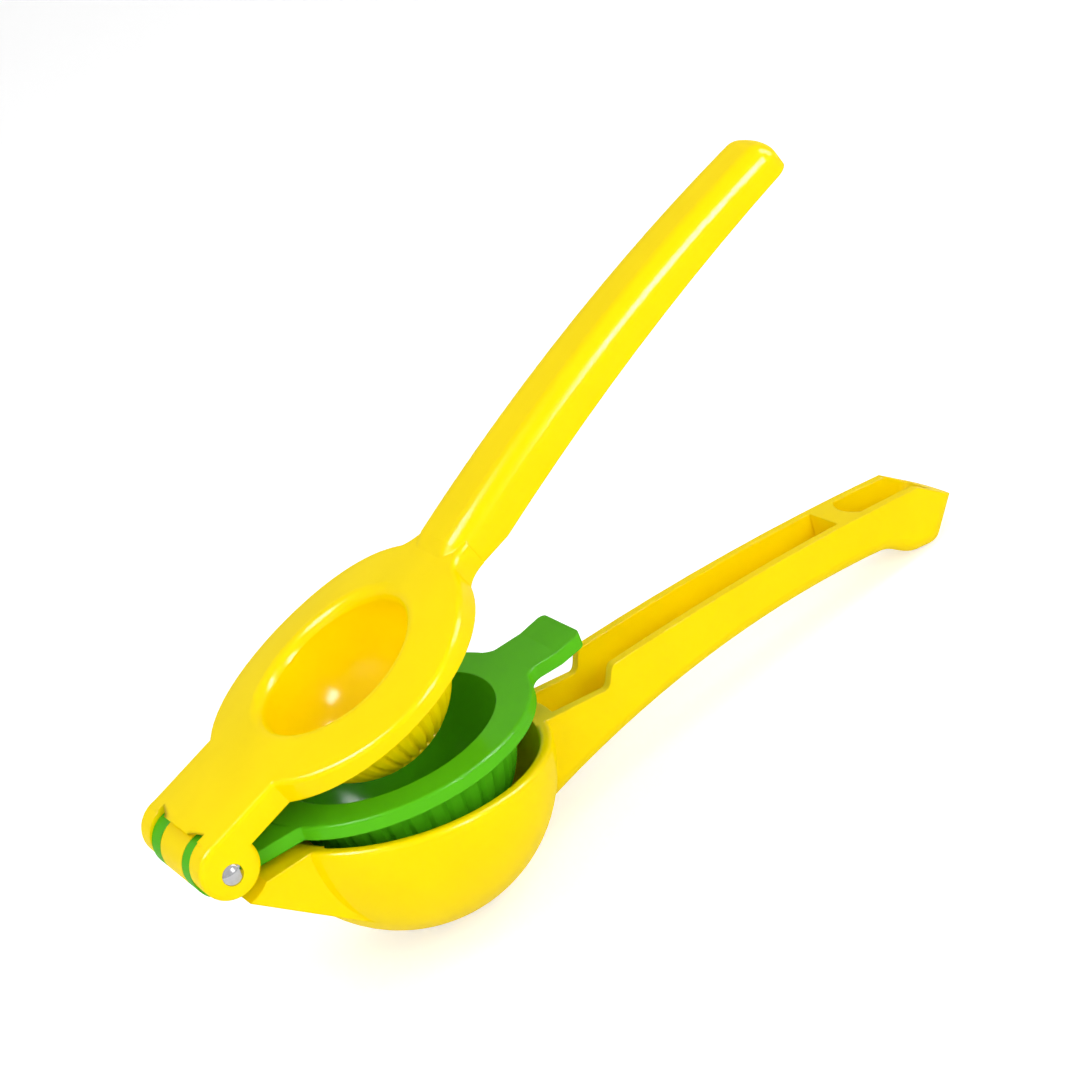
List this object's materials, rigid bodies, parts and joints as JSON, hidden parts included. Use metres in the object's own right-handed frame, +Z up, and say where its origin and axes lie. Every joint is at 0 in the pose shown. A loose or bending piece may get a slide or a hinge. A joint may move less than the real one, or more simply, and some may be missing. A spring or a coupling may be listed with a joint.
{
  "type": "hinged citrus squeezer",
  "caption": "Hand press with two nested bowls on one hinge: a yellow lemon bowl with a channel handle, a green lime insert with a finger tab, and a domed press with its own handle.",
  "frame": {"origin": "the point of the table under the lemon bowl, where the bowl's outside touches it", "axes": "+X along the handles, away from the hinge; +Y across the tool, along the hinge pin; +Z up from the table"},
  "size_m": [0.2258, 0.0786, 0.1228],
  "materials": {
    "yellow_enamel": "glossy lemon-yellow enamel on die-cast aluminium",
    "green_enamel": "glossy lime-green enamel on die-cast aluminium",
    "polished_steel": "polished steel"
  },
  "bodies": {
    "lower": {"lemon_bowl": "yellow_enamel"},
    "insert": {"lime_insert": "green_enamel"},
    "upper": {"press": "yellow_enamel", "hinge_pin": "polished_steel"}
  },
  "joints": [
    {"name": "insert_hinge", "type": "hinge", "parent": "lower", "child": "insert", "pos_m": [-0.05162, 0, 0.05444], "axis": [0, -1, 0], "range_deg": [-6.6, 83.4]},
    {"name": "press_hinge", "type": "hinge", "parent": "insert", "child": "upper", "pos_m": [-0.05162, 0, 0.05444], "axis": [0, -1, 0], "range_deg": [-18.1, 71.9]}
  ]
}
